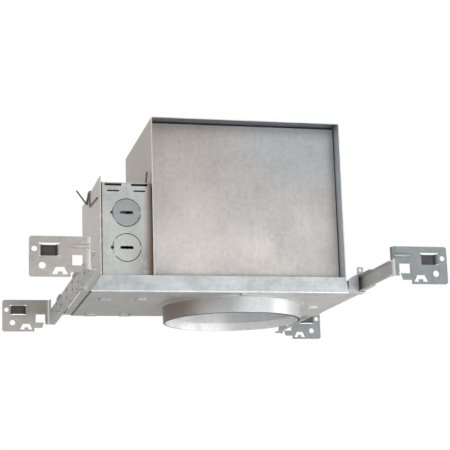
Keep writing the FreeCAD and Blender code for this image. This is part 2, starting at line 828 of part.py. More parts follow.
def lance_cuts(start, end):
    """Tabs cut on three sides in the web, each with a notch in the lower fold beside it."""
    cuts = []
    middle = (rail_bottom + rail_top) / 2
    half = lance_size / 2
    y = start + lance_start
    while y < end - lance_start:
        frame = box(-2 * sheet, y - half, middle - half, sheet, y + half, middle + half)
        tab = box(-3 * sheet, y - half, middle - half + lance_slot, 2 * sheet,
                  y + half - lance_slot, middle + half - lance_slot)
        cuts.append(frame.cut(tab))
        notch = [(-1.8, y + half + 3.0), (-6.0, y + half + 3.0), (-1.8, y + half + 10.0)]
        hole = cut_plate(notch, in_xy, Vector(0, 0, 3 * sheet))
        hole.translate(Vector(0, 0, rail_bottom - sheet))
        cuts.append(hole)
        y += lance_pitch
    return Part.makeCompound(cuts)


def outer_rail(end):
    """The outer channel, whose end plate is at its rear end."""
    start = end - outer_rail_length
    channel = rail(rail_bottom, rail_top, rail_fold, start, end - 3.0)
    plate = mirrored_y(end_plate(0.0, rail_bottom), 0.0)
    plate.translate(Vector(0, end, 0))
    return joined([channel.cut(lance_cuts(start, end)), plate])


def inner_rail(front):
    """The inner channel, whose end plate is at its front end."""
    low = rail_bottom + nested
    high = rail_top - nested
    channel = rail(low, high, inner_rail_fold, front + 3.0, front + inner_rail_length)
    both = joined([channel, end_plate(front, low)])
    both.translate(Vector(-nested, 0, 0))
    return both


def place_right(shape):
    shape.translate(Vector(right_web, 0, 0))
    return shape


def place_left(shape):
    shape = mirrored_x(shape)
    shape.translate(Vector(left_web, 0, 0))
    return shape


def turn_to_left(shape):
    """The left hanger is the right one turned end for end."""
    shape.rotate(Vector(0, 0, 0), Vector(0, 0, 1), 180)
    shape.translate(Vector(left_web, 0, 0))
    return shape


# Rail guides, drawn beside a web whose outer face is at x = 0

guide_foot_right = 10.8
guide_foot_left = 4.6
panel_slope = 5.0
stop_tab_height = 8.3
stop_tab_width = 7.0
stop_hole_radius = 1.5


def rail_guide(foot_length):
    """A folded bracket that stands on the strip, reaches over a rail and hooks its outer side."""
    wall = -rail_fold - slide_gap - sheet / 2
    foot = strip_top + sheet / 2
    arm = rail_top + slide_gap + sheet / 2
    outside = slide_gap + sheet / 2
    path = [(wall - foot_length, foot), (wall, foot), (wall, arm), (outside, arm),
            (outside, arm - guide_hook - sheet / 2)]
    guide = folded_sheet(path, in_xz, Vector(0, guide_length, 0), radius=0.3)
    panel = [(wall - foot_length, strip_top), (wall, strip_top), (wall, rail_top),
             (wall - foot_length, rail_top - panel_slope)]
    guide = joined([guide, cut_plate(panel, in_xz, Vector(0, sheet, 0))])
    guide.translate(Vector(0, pan_front, 0))
    return guide


def stop_tab():
    """An upright ear with a hole, on the front edge of a right-hand guide's arm."""
    left = -rail_fold - slide_gap - sheet
    foot = rail_top + slide_gap
    ear = box(left, 0, foot, left + stop_tab_width, sheet, foot + stop_tab_height)
    hole = left + stop_tab_width / 2
    level = foot + stop_tab_height - stop_tab_width / 2
    ear = ear.cut(rod(stop_hole_radius, (hole, -1.0, level), (hole, 2.0, level)))
    ear.translate(Vector(0, pan_front, 0))
    return ear


def write(name, shape):
    """Write one node after checking that it is sound."""
    if not shape.isValid():
        raise ValueError(name + " is not a valid shape")
    shape.exportStep("parts/" + name + ".step")
    print(name, len(shape.Solids), round(shape.Volume / 1000.0, 3), "cm3")


def main():
    os.makedirs("parts", exist_ok=True)
    pan_middle = (pan_front + pan_back) / 2
    nut_seat = -sqrt((can_radius - sheet) ** 2 - (conduit_radius + 4.0) ** 2)
    write("mounting_pan", make_pan())
    write("housing_wrapper", make_wrapper())
    write("front_panel", make_panel(front_face, 1))
    write("rear_panel", make_panel(box_back, -1))
    write("aperture_collar", make_collar())
    write("lamp_can", make_can())
    write("socket_bracket", make_socket_bracket())
    write("lampholder_body", make_lampholder_body())
    write("lampholder_shell", make_lampholder_shell())
    write("lampholder_contact", make_lampholder_contact())
    write("lampholder_screws", make_lampholder_screws())
    write("height_wing_nut", make_height_wing_nut())
    write("thermal_protector", make_thermal_protector())
    write("flex_conduit", make_flex_conduit())
    write("conduit_connector_box",
          make_connector(wiring_right - sheet, sheet - box_half_width, 1))
    write("conduit_connector_can", make_connector(-can_radius, nut_seat, -1))
    write("wiring_box_body", make_wiring_body())
    write("wiring_box_front", make_wiring_panel())
    write("wiring_box_rear",
          mirrored_y(make_wiring_panel(), (wiring_front + wiring_back) / 2))
    write("wiring_box_cover", make_wiring_cover())
    write("cover_spring", make_cover_spring())
    write("roof_spring", make_roof_spring())
    write("cable_clamps", make_cable_clamps())
    write("ground_screw", make_ground_screw())
    write("wire_connectors", make_wire_connectors())
    right_guide = joined([rail_guide(guide_foot_right), stop_tab()])
    write("rail_guide_right_front", place_right(right_guide.copy()))
    write("rail_guide_right_rear", place_right(mirrored_y(right_guide, pan_middle)))
    write("rail_guide_left_front", place_left(rail_guide(guide_foot_left)))
    write("rail_guide_left_rear", place_left(mirrored_y(rail_guide(guide_foot_left), pan_middle)))
    write("outer_rail_right", place_right(outer_rail(right_outer_plate)))
    write("inner_rail_right", place_right(inner_rail(right_inner_plate)))
    write("outer_rail_left", turn_to_left(outer_rail(-left_outer_plate)))
    write("inner_rail_left", turn_to_left(inner_rail(-left_inner_plate)))


main()
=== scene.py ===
"""Looks of a recessed light housing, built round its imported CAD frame, laid out as an add-on."""
import json
from math import cos, radians, sin

import bpy
from mathutils import Matrix, Vector

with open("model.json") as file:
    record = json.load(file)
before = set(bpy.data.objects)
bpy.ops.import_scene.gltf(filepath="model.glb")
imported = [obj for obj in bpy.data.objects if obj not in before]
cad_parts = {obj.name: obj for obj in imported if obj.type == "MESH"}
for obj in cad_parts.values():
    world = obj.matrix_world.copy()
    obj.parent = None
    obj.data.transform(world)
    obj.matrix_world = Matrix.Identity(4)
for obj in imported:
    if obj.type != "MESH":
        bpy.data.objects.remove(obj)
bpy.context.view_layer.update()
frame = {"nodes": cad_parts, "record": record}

bl_info = {
    "name": "Recessed light housing",
    "version": (1, 0, 0),
    "blender": (4, 5, 0),
    "location": "View3D > Sidebar > Housing",
    "description": "Finishes and a studio for a recessed light housing",
    "category": "Object",
}


def colour(name, value, text):
    """A colour setting of the sidebar."""
    return bpy.props.FloatVectorProperty(name=name, description=text, default=value, size=3,
                                         min=0.0, max=1.0, subtype="COLOR")


def length(name, value, text):
    """A length setting of the sidebar, in metres."""
    return bpy.props.FloatProperty(name=name, description=text, default=value, unit="LENGTH",
                                   subtype="DISTANCE")


def amount(name, value, text):
    """A plain number of the sidebar."""
    return bpy.props.FloatProperty(name=name, description=text, default=value, subtype="FACTOR",
                                   min=0.0, max=100.0)


class HousingFinishes(bpy.types.PropertyGroup):
    """Colours of the sheet metal and the small pieces."""
    pan: colour("Pan", (0.50, 0.48, 0.46), "Galvanised sheet of the mounting pan")
    # Painted light: the pan is made lighter towards its right-hand end, where the low light on the
    # right falls.
    pan_painted_light: colour("Pan, right", (0.66, 0.65, 0.63), "Cleaner right-hand end of the mounting pan")
    # Painted light: a cooler copy of the pan's sheet on the faces of its flanges turned to the
    # front and the back.
    flange_painted_light: colour("Pan flanges", (0.45, 0.48, 0.49), "Upturned edges of the mounting pan")
    # Painted highlight: near-white colour on the outside of the pan's folds, on faces turned to
    # the front and down.
    fold: colour("Folds", (0.80, 0.82, 0.83), "Bright zinc along the outside of a fold")
    box: colour("Box", (0.60, 0.56, 0.51), "Galvanised sheet of the folded box")
    box_inside: colour("Box inside", (0.10, 0.12, 0.15), "Shaded inner side of the box's top")
    # Painted reflection: pale bluish colour of the surroundings on the inner side of the box's
    # open right-hand edge.
    box_edge_painted_reflection: colour("Box edge", (0.52, 0.60, 0.66), "Inner side of the box's open edge")
    # Painted shade: dark lines in the gaps between sheets, under the collar's near rim and along
    # the pan's step line, and dots at the knockouts' bridges.
    seam: colour("Seams", (0.07, 0.035, 0.03), "Tarnish in the seams between two sheets")
    # Darker and browner towards the lower right of the wiring box's front, in a cloudy pattern,
    # and along its right edge.
    brown_darkening: colour("Tarnish", (0.09, 0.055, 0.03), "Brown bloom in corners")
    panel: colour("Panels", (0.50, 0.475, 0.455), "Galvanised sheet of the end panels")
    # Painted shade: the panels darken towards the top, in a warm tone on the left and a cool tone
    # on the right.
    panel_painted_shade_left: colour("Panels, upper left", (0.37, 0.335, 0.31), "Pinkish bloom high on the left")
    panel_painted_shade_right: colour("Panels, upper right", (0.35, 0.365, 0.375),
                       "Bluish bloom high on the right")
    collar: colour("Collar", (0.52, 0.54, 0.54), "Galvanised sheet of the aperture collar")
    # Painted shade: the collar's wall darkens and warms towards the left, away from the light on
    # the right.
    collar_painted_shade: colour("Collar, left", (0.33, 0.27, 0.245), "Tarnished left side of the collar")
    can: colour("Lamp can", (0.72, 0.73, 0.74), "Mill finish of the lamp can")
    wiring: colour("Wiring box", (0.46, 0.47, 0.46), "Galvanised sheet of the wiring box")
    slug: colour("Knockouts", (0.30, 0.32, 0.32), "Slugs of the knockouts")
    # Galvanised sheet, partly painted light: its base is lighter and warmer than the box's sheet,
    # for the warm light on the left.
    cover: colour("Cover", (0.72, 0.68, 0.64), "Galvanised sheet of the wiring box cover")
    hanger: colour("Hanger bars", (0.52, 0.52, 0.51), "Galvanised strip of the hanger bars")
    # Painted shade: the nail plates are darker than the bars, cool on the right bar and warm on
    # the left, as the lights fall on them.
    right_bar_painted_shade: colour("Right plates", (0.21, 0.235, 0.24), "Nail plates of the right bar")
    left_plates_painted_shade: colour("Left plates", (0.41, 0.39, 0.36), "Nail plates of the left bar")
    guide: colour("Guides", (0.42, 0.44, 0.46), "Galvanised strip of the bar guides")
    pocket: colour("Plate pockets", (0.07, 0.07, 0.065), "Shaded pockets of the nail plates")
    # Painted light: near-white colour on the collar's hem and inner wall, and on the lamp can's
    # inner wall where it faces right.
    inner_painted_light: colour("Collar hem", (0.95, 0.95, 0.94), "Bright rolled hem inside the collar")
    wire: colour("Spring wire", (0.17, 0.13, 0.12), "Drawn wire of the clips")
    zinc: colour("Zinc", (0.45, 0.46, 0.47), "Plated screws and fittings")
    porcelain: colour("Lampholder", (0.80, 0.78, 0.72), "Glazed body of the lampholder")
    brass: colour("Screw shell", (0.72, 0.52, 0.24), "Screw shell and centre contact")
    black: colour("Cut-out", (0.02, 0.02, 0.02), "Moulded case of the thermal cut-out")
    green: colour("Earth screw", (0.03, 0.20, 0.07), "Dyed head of the earthing screw")
    orange: colour("Connectors", (0.75, 0.28, 0.05), "Moulded wire connectors")


class HousingStage(bpy.types.PropertyGroup):
    """Camera, lights and floor."""
    lens: bpy.props.FloatProperty(name="Lens", description="Focal length on a 36 mm sensor",
                                  default=105.11, unit="CAMERA")
    camera_x: length("Camera X", -0.3485, "Camera position along the pan")
    camera_y: length("Camera Y", -1.4280, "Camera position in front of the housing")
    camera_z: length("Camera Z", -0.1992, "Camera height")
    yaw: bpy.props.FloatProperty(name="Yaw", description="Turn of the camera towards the right",
                                 default=radians(13.544), subtype="ANGLE")
    pitch: bpy.props.FloatProperty(name="Pitch", description="Upward tilt of the camera",
                                   default=radians(11.949), subtype="ANGLE")
    roll: bpy.props.FloatProperty(name="Roll", description="Roll of the camera",
                                  default=radians(1.699), subtype="ANGLE")
    floor_drop: length("Floor drop", 0.42, "Height of the housing's rim above the floor")
    floor_shade: colour("Floor", (0.80, 0.80, 0.80), "Matt pale floor")
    world_strength: amount("Surroundings", 0.55, "Strength of the white surroundings")
    key_power: amount("Key light", 9.5, "Power of the large light in front, in watts")
    left_power: amount("Left light", 9.0, "Power of the warm light on the left, in watts")
    under_power: amount("Lower light", 7.0, "Power of the light from below in front, in watts")
    right_power: amount("Right light", 10.0, "Power of the low light on the right, in watts")


# Relief and gloss of the rolled sheet

ROUGHNESS_SPREAD = 0.25     # how far the zinc bloom changes the roughness
GRAIN_STRENGTH = 0.12       # of the bump that the rolling lines give
GRAIN_DEPTH = 0.0004        # height of the rolling lines, in metres


# Node groups shared by the finishes

def new_group(name, inputs, outputs):
    """A node group with float, vector or colour sockets."""
    group = bpy.data.node_groups.new(name, "ShaderNodeTree")
    for label, kind, default in inputs:
        socket = group.interface.new_socket(name=label, in_out="INPUT", socket_type=kind)
        if default is not None:
            socket.default_value = default
    for label, kind in outputs:
        group.interface.new_socket(name=label, in_out="OUTPUT", socket_type=kind)
    start = group.nodes.new("NodeGroupInput")
    end = group.nodes.new("NodeGroupOutput")
    return group, start, end


def math_node(nodes, links, operation, a, b=None, clamp=False):
    """A maths node fed by sockets or plain numbers."""
    node = nodes.new("ShaderNodeMath")
    node.operation = operation
    node.use_clamp = clamp
    for index, value in enumerate((a, b)):
        if value is None:
            continue
        if isinstance(value, bpy.types.NodeSocket):
            links.new(value, node.inputs[index])
        else:
            node.inputs[index].default_value = value
    return node.outputs[0]


def grain_group():
    """Fine rolling lines along one axis, as a value round zero."""
    group, start, end = new_group(
        "Rolled grain",
        [("Vector", "NodeSocketVector", None), ("Fineness", "NodeSocketFloat", 900.0),
         ("Stretch", "NodeSocketVector", (1.0, 1.0, 0.03))],
        [("Value", "NodeSocketFloat")])
    nodes, links = group.nodes, group.links
    stretch = nodes.new("ShaderNodeVectorMath")
    stretch.operation = "MULTIPLY"
    links.new(start.outputs["Vector"], stretch.inputs[0])
    links.new(start.outputs["Stretch"], stretch.inputs[1])
    noise = nodes.new("ShaderNodeTexNoise")
    noise.inputs["Detail"].default_value = 3.0
    noise.inputs["Roughness"].default_value = 0.6
    links.new(stretch.outputs[0], noise.inputs["Vector"])
    links.new(start.outputs["Fineness"], noise.inputs["Scale"])
    links.new(math_node(nodes, links, "SUBTRACT", noise.outputs["Fac"], 0.5), end.inputs["Value"])
    return group


def mottle_group():
    """Cloudy zinc bloom with small crystals, as a value round zero."""
    group, start, end = new_group(
        "Zinc mottling",
        [("Vector", "NodeSocketVector", None), ("Cloud scale", "NodeSocketFloat", 22.0),
         ("Crystal scale", "NodeSocketFloat", 260.0), ("Crystal share", "NodeSocketFloat", 0.35)],
        [("Value", "NodeSocketFloat")])
    nodes, links = group.nodes, group.links
    cloud = nodes.new("ShaderNodeTexNoise")
    cloud.inputs["Detail"].default_value = 4.0
    links.new(start.outputs["Vector"], cloud.inputs["Vector"])
    links.new(start.outputs["Cloud scale"], cloud.inputs["Scale"])
    crystal = nodes.new("ShaderNodeTexVoronoi")
    links.new(start.outputs["Vector"], crystal.inputs["Vector"])
    links.new(start.outputs["Crystal scale"], crystal.inputs["Scale"])
    grey = nodes.new("ShaderNodeRGBToBW")
    links.new(crystal.outputs["Color"], grey.inputs[0])
    cloud_value = math_node(nodes, links, "SUBTRACT", cloud.outputs["Fac"], 0.5)
    crystal_value = math_node(nodes, links, "SUBTRACT", grey.outputs[0], 0.5)
    scaled = math_node(nodes, links, "MULTIPLY", crystal_value, start.outputs["Crystal share"])
    links.new(math_node(nodes, links, "ADD", cloud_value, scaled), end.inputs["Value"])
    return group


def shade_group():
    """A base colour lightened or darkened by a value round zero."""
    group, start, end = new_group(
        "Vary shade",
        [("Color", "NodeSocketColor", (0.5, 0.5, 0.5, 1.0)), ("Value", "NodeSocketFloat", 0.0),
         ("Amount", "NodeSocketFloat", 0.3)],
        [("Color", "NodeSocketColor")])
    nodes, links = group.nodes, group.links
    scaled = math_node(nodes, links, "MULTIPLY", start.outputs["Value"], start.outputs["Amount"])
    factor = math_node(nodes, links, "ADD", scaled, 1.0)
    mix = nodes.new("ShaderNodeVectorMath")
    mix.operation = "SCALE"
    links.new(start.outputs["Color"], mix.inputs[0])
    links.new(factor, mix.inputs["Scale"])
    links.new(mix.outputs[0], end.inputs["Color"])
    return group


def ramp_group():
    """How far a vector has come along a direction, from 0 at one distance to 1 at another."""
    group, start, end = new_group(
        "Ramp along",
        [("Vector", "NodeSocketVector", None), ("Direction", "NodeSocketVector", (0.0, 0.0, 1.0)),
         ("From", "NodeSocketFloat", 0.0), ("To", "NodeSocketFloat", 1.0)],
        [("Value", "NodeSocketFloat")])
    nodes, links = group.nodes, group.links
    along = nodes.new("ShaderNodeVectorMath")
    along.operation = "DOT_PRODUCT"
    links.new(start.outputs["Vector"], along.inputs[0])
    links.new(start.outputs["Direction"], along.inputs[1])
    ramp = nodes.new("ShaderNodeMapRange")
    ramp.interpolation_type = "SMOOTHSTEP"
    links.new(along.outputs["Value"], ramp.inputs["Value"])
    links.new(start.outputs["From"], ramp.inputs["From Min"])
    links.new(start.outputs["To"], ramp.inputs["From Max"])
    links.new(ramp.outputs["Result"], end.inputs["Value"])
    return group


def disc_group(name, flatten):
    """1 within a radius of an axis through a centre; the flattening leaves out that axis."""
    group, start, end = new_group(
        name,
        [("Vector", "NodeSocketVector", None), ("Centre", "NodeSocketVector", (0.0, 0.0, 0.0)),
         ("Radius", "NodeSocketFloat", 0.01)],
        [("Value", "NodeSocketFloat")])
    nodes, links = group.nodes, group.links
    apart = nodes.new("ShaderNodeVectorMath")
    apart.operation = "SUBTRACT"
    links.new(start.outputs["Vector"], apart.inputs[0])
    links.new(start.outputs["Centre"], apart.inputs[1])
    flat = nodes.new("ShaderNodeVectorMath")
    flat.operation = "MULTIPLY"
    flat.inputs[1].default_value = flatten
    links.new(apart.outputs[0], flat.inputs[0])
    reach = nodes.new("ShaderNodeVectorMath")
    reach.operation = "LENGTH"
    links.new(flat.outputs[0], reach.inputs[0])
    inside = math_node(nodes, links, "LESS_THAN", reach.outputs["Value"], start.outputs["Radius"])
    links.new(inside, end.inputs["Value"])
    return group


def group_node(material, group):
    """A shared node group, placed in a material."""
    node = material.node_tree.nodes.new("ShaderNodeGroup")
    node.node_tree = group
    return node


def plain_material(name, base, metallic, roughness):
    """A material of one shader, with its values on the shader's sockets."""
    material = bpy.data.materials.new(name)
    material.use_nodes = True
    shader = material.node_tree.nodes["Principled BSDF"]
    shader.inputs["Base Color"].default_value = (*base, 1.0)
    shader.inputs["Metallic"].default_value = metallic
    shader.inputs["Roughness"].default_value = roughness
    return material


def mask(material, groups, sources, terms):
    """The product of discs and of ramps along the place, the normal or the bloom."""
    nodes, links = material.node_tree.nodes, material.node_tree.links
    product = None
    for source, direction, *limits in terms:
        if source in ("disc", "disc_z"):
            term = group_node(material, groups[source])
            links.new(sources["place"], term.inputs["Vector"])
            term.inputs["Centre"].default_value = direction
            term.inputs["Radius"].default_value = limits[0]
        else:
            term = group_node(material, groups["ramp"])
            links.new(sources[source], term.inputs["Vector"])
            term.inputs["Direction"].default_value = direction
            term.inputs["From"].default_value = limits[0]
            term.inputs["To"].default_value = limits[1]
        value = term.outputs["Value"]
        product = value if product is None else math_node(nodes, links, "MULTIPLY", product, value)
    return product


def sheet_material(name, base, groups, stretch, tints=(), fineness=900.0, grain=0.18, mottle=0.30,
                   metallic=0.55, roughness=0.42, cloud_scale=22.0):
    """Galvanised sheet: rolled grain and zinc bloom, with tints where their masks say."""
    material = plain_material(name, base, metallic, roughness)
    tree = material.node_tree
    nodes, links = tree.nodes, tree.links
    shader = nodes["Principled BSDF"]
    coordinates = nodes.new("ShaderNodeTexCoord")
    place = coordinates.outputs["Object"]
    lines = group_node(material, groups["grain"])
    lines.inputs["Fineness"].default_value = fineness
    lines.inputs["Stretch"].default_value = stretch
    links.new(place, lines.inputs["Vector"])
    bloom = group_node(material, groups["mottle"])
    bloom.inputs["Cloud scale"].default_value = cloud_scale
    links.new(place, bloom.inputs["Vector"])
    sources = {"place": place, "normal": coordinates.outputs["Normal"],
               "bloom": bloom.outputs["Value"]}

    ground = nodes.new("ShaderNodeRGB").outputs[0]
    ground.default_value = (*base, 1.0)
    for tint, terms in tints:
        mix = nodes.new("ShaderNodeMix")
        mix.data_type = "RGBA"
        links.new(mask(material, groups, sources, terms), mix.inputs["Factor"])
        links.new(ground, mix.inputs["A"])
        mix.inputs["B"].default_value = (*tint, 1.0)
        ground = mix.outputs["Result"]
    for value, share in ((lines.outputs["Value"], grain), (bloom.outputs["Value"], mottle)):
        shade = group_node(material, groups["shade"])
        shade.inputs["Amount"].default_value = share
        links.new(ground, shade.inputs["Color"])
        links.new(value, shade.inputs["Value"])
        ground = shade.outputs["Color"]
    links.new(ground, shader.inputs["Base Color"])

    rough = math_node(nodes, links, "MULTIPLY", bloom.outputs["Value"], ROUGHNESS_SPREAD)
    links.new(math_node(nodes, links, "ADD", rough, roughness), shader.inputs["Roughness"])
    bump = nodes.new("ShaderNodeBump")
    bump.inputs["Strength"].default_value = GRAIN_STRENGTH
    bump.inputs["Distance"].default_value = GRAIN_DEPTH
    links.new(lines.outputs["Value"], bump.inputs["Height"])
    links.new(bump.outputs["Normal"], shader.inputs["Normal"])
    return material


# Directions, and stretches that draw noise out into rolling lines

LEFT, RIGHT = (-1.0, 0.0, 0.0), (1.0, 0.0, 0.0)
FRONT, BACK = (0.0, -1.0, 0.0), (0.0, 1.0, 0.0)
DOWN, UP = (0.0, 0.0, -1.0), (0.0, 0.0, 1.0)
FRONT_AND_DOWN = (0.0, -0.7071, -0.7071)
UPRIGHT, ALONG_X, ALONG_Y = (1.0, 1.0, 0.03), (0.03, 1.0, 1.0), (1.0, 0.03, 1.0)
ORIGIN = (0.0, 0.0, 0.0)

# Places on the housing that the tints follow, in metres

KNOCKOUT_DROP = 0.0314      # upper knockout below the top of the wiring box's panel
KNOCKOUT_PITCH = 0.0374
KNOCKOUT_RADIUS = 0.0150
BRIDGE_RADIUS = 0.0019      # dark dot where a knockout's groove is bridged
COLLAR_INSIDE = 0.0760      # the hem and the inner wall lie within this radius
PLATE_WIDTH = 0.0579
PLATE_LEG = 0.012           # of a plate, next to its bar, without pockets
POCKET_DEPTH = 0.0015
POCKET_MARGIN = 0.0012
TOE_REACH = 0.0012          # the pan's toe tabs end this far beyond the bars' webs
RAIL_TOP = 0.0384           # only the legs that lead to the nail plates stand higher
STEP_LINE = 0.1713          # joggle of the pan left of the wiring box
SEAM_WIDTH = 0.0011
NARROW_SEAM = 0.0009
SEAM_SOFTNESS = 0.3         # share of its width over which a seam's edge fades
SHARP_EDGE = 0.001          # a tint with a sharp edge fades in over this run
SOFT_EDGE = 0.01


def node_box(name):
    """Lowest and highest corner of a CAD node, which stands where it was packed."""
    corners = [vertex.co for vertex in frame["nodes"][name].data.vertices]
    low = [min(corner[axis] for corner in corners) for axis in range(3)]
    high = [max(corner[axis] for corner in corners) for axis in range(3)]
    return low, high


def facing(direction, start=0.5, full=0.8):
    """A term for faces turned along a direction, from no tint to full tint."""
    return "normal", direction, start, full


def beyond(direction, start, full):
    """A term for places that lie further along a direction than a distance."""
    return "place", direction, start, full


def past_edge(direction, edge, fade=SHARP_EDGE):
    """A term for places past an edge, with the tint fading in over a short run."""
    return beyond(direction, edge, edge + fade)


def seam(tint, direction, edge, width=SEAM_WIDTH):
    """A line of painted shade just inside an edge, which lies this far along a direction."""
    start = edge - (1 + SEAM_SOFTNESS) * width
    full = edge - (1 - SEAM_SOFTNESS) * width
    return tint, [beyond(direction, start, full)]


# Tints of each sheet

def box_tints(finishes):
    """Painted shade under the box's top and a painted reflection of the surroundings on the inner
    side of its open edge.
    """
    return [(finishes.box_inside, [facing(DOWN)]),
            (finishes.box_edge_painted_reflection, [facing(LEFT), past_edge(RIGHT, 0.0, SOFT_EDGE)])]


def panel_tints(finishes):
    """Painted shade high on the panels, warmer on the left and cooler on the right, and painted
    shade in the seams along the edges.
    """
    low, high = node_box("front_panel")
    upper = beyond(UP, 0.06, 0.20)
    towards_right = beyond(RIGHT, -0.08, 0.06)
    return [(finishes.panel_painted_shade_left, [upper]), (finishes.panel_painted_shade_right, [upper, towards_right]),
            seam(finishes.seam, LEFT, -low[0]), seam(finishes.seam, RIGHT, high[0]),
            seam(finishes.seam, UP, high[2])]


def wiring_tints(finishes):
    """Darker brown towards the lower right and along the right edge, painted shade along the left
    edge and at the knockouts' bridges, and the slug of the upper knockout.
    """
    low, high = node_box("wiring_box_front")
    middle = (low[0] + high[0]) / 2
    upper = high[2] - KNOCKOUT_DROP
    towards_right = beyond(RIGHT, low[0] + 0.02, high[0])
    towards_foot = beyond(DOWN, 0.03 - high[2], -low[2])
    cloudy = ("bloom", RIGHT, -0.45, 0.35)
    right_edge = beyond(RIGHT, high[0] - 0.009, high[0] + 0.002)
    tints = [(finishes.brown_darkening, [towards_right, towards_foot, cloudy]),
             (finishes.brown_darkening, [right_edge]),
             seam(finishes.seam, LEFT, -low[0], NARROW_SEAM)]
    for height in (upper, upper - KNOCKOUT_PITCH):
        bridge = ("disc", (middle - KNOCKOUT_RADIUS, 0.0, height), BRIDGE_RADIUS)
        tints.append((finishes.seam, [bridge]))
    tints.append((finishes.slug, [("disc", (middle, 0.0, upper), KNOCKOUT_RADIUS)]))
    return tints


def collar_tints(finishes):
    """Painted shade on the collar's left, painted light on the hem and the inner wall, and painted
    shade under the near rim.
    """
    inside = ("disc_z", ORIGIN, COLLAR_INSIDE)
    tints = [(finishes.collar_painted_shade, [beyond(LEFT, 0.02, 0.075), facing(LEFT, -0.2, 0.3)])]
    tints += [(finishes.inner_painted_light, [inside, facing(side, 0.1, 0.3)]) for side in (LEFT, RIGHT, FRONT)]
    tints.append((finishes.seam, [facing(DOWN), beyond(FRONT, -0.02, 0.02)]))
    return tints


def pocket_tint(tint, side):
    """Painted shade on the straps set back behind the nail plates of one bar, away from the bar
    itself.
    """
    outer_low, outer_high = node_box("outer_rail_" + side)
    inner_low, inner_high = node_box("inner_rail_" + side)
    front, rear = min(outer_low[1], inner_low[1]), max(outer_high[1], inner_high[1])
    away = outer_high[0] if side == "right" else -outer_low[0]
    outward = RIGHT if side == "right" else LEFT
    depth = POCKET_DEPTH + POCKET_MARGIN
    return tint, [past_edge(outward, away - PLATE_WIDTH + PLATE_LEG),
                  past_edge(BACK, front + depth), past_edge(FRONT, depth - rear)]


def hanger_tints(finishes):
    """Painted shade on the right bar's plates and legs, warmer painted shade on the left bar's
    plates, and painted shade in the pockets.
    """
    pan_low, pan_high = node_box("mounting_pan")
    right_web, left_web = pan_high[0] - TOE_REACH, -pan_low[0] - TOE_REACH
    right_legs = [past_edge(RIGHT, 0.0, SOFT_EDGE), past_edge(UP, RAIL_TOP)]
    tints = [(finishes.right_bar_painted_shade, [past_edge(RIGHT, right_web, 2 * SHARP_EDGE)]),
             (finishes.right_bar_painted_shade, right_legs),
             (finishes.left_plates_painted_shade, [past_edge(LEFT, left_web, 2 * SHARP_EDGE)])]
    return tints + [pocket_tint(finishes.pocket, side) for side in ("left", "right")]


def pan_tints(finishes):
    """Painted light on the right end, painted shade along the step line, painted light of a cooler
    tone on the flanges and a painted highlight along the folds.
    """
    # Painted shade: a dark line along the slope of the pan's joggle, on faces turned down.
    step_line_shade = [beyond(LEFT, STEP_LINE - 0.0010, STEP_LINE - 0.0004),
                 beyond(RIGHT, -STEP_LINE - 0.0012, -STEP_LINE - 0.0006),
                 facing(DOWN, 0.2, 0.4)]
    return [(finishes.pan_painted_light, [beyond(RIGHT, 0.0, 0.10)]),
            (finishes.seam, step_line_shade),
            (finishes.flange_painted_light, [facing(FRONT)]), (finishes.flange_painted_light, [facing(BACK)]),
            (finishes.fold, [facing(FRONT_AND_DOWN, 0.88, 0.96)])]


def shared_groups():
    """The node groups by the short names that the masks and sheets use."""
    return {"grain": grain_group(), "mottle": mottle_group(), "shade": shade_group(),
            "ramp": ramp_group(), "disc": disc_group("Disc from the front", (1.0, 0.0, 1.0)),
            "disc_z": disc_group("Disc from below", (1.0, 1.0, 0.0))}


def sheet_finishes(finishes, groups):
    """Materials of the rolled sheet and strip, by material slot."""
    # Painted light on the lamp can's inner wall where it faces right.
    can_tints = [(finishes.inner_painted_light, [facing(RIGHT, 0.2, 0.7)])]
    return {
        "galvanised_pan": sheet_material("pan_sheet", finishes.pan, groups, ALONG_X,
                                         pan_tints(finishes), grain=0.3, mottle=0.5,
                                         cloud_scale=45.0),
        "galvanised_box": sheet_material("box_sheet", finishes.box, groups, ALONG_Y,
                                         box_tints(finishes)),
        "galvanised_panel": sheet_material("panel_sheet", finishes.panel, groups, UPRIGHT,
                                           panel_tints(finishes), mottle=0.4),
        "collar_steel": sheet_material("collar_sheet", finishes.collar, groups, UPRIGHT,
                                       collar_tints(finishes)),
        "can_aluminium": sheet_material("can_sheet", finishes.can, groups, UPRIGHT, can_tints,
                                        roughness=0.35),
        "galvanised_wiring": sheet_material("wiring_sheet", finishes.wiring, groups, UPRIGHT,
                                            wiring_tints(finishes)),
        "galvanised_cover": sheet_material("cover_sheet_painted_light", finishes.cover, groups, UPRIGHT),
        "hanger_steel": sheet_material("hanger_strip", finishes.hanger, groups, ALONG_Y,
                                       hanger_tints(finishes)),
        "guide_steel": sheet_material("guide_strip", finishes.guide, groups, ALONG_Y),
        "bracket_steel": sheet_material("bracket_strip", finishes.guide, groups, UPRIGHT),
    }


def fitting_finishes(finishes):
    """Materials of the fittings by slot, from a name, a colour, metallic and roughness."""
    fittings = {
        "screw_steel": ("screw_metal", finishes.zinc, 0.8, 0.3),
        "conduit_steel": ("conduit_metal", finishes.zinc, 0.8, 0.35),
        "fitting_zinc": ("fitting_metal", finishes.zinc, 0.7, 0.45),
        "spring_wire": ("spring_metal", finishes.wire, 0.85, 0.3),
        "porcelain": ("lampholder_glaze", finishes.porcelain, 0.0, 0.2),
        "shell_brass": ("shell_metal", finishes.brass, 0.9, 0.28),
        "protector_black": ("cutout_moulding", finishes.black, 0.0, 0.5),
        "ground_green": ("earth_screw_paint", finishes.green, 0.4, 0.4),
        "connector_plastic": ("connector_moulding", finishes.orange, 0.0, 0.3),
    }
    return {slot: plain_material(*values) for slot, values in fittings.items()}


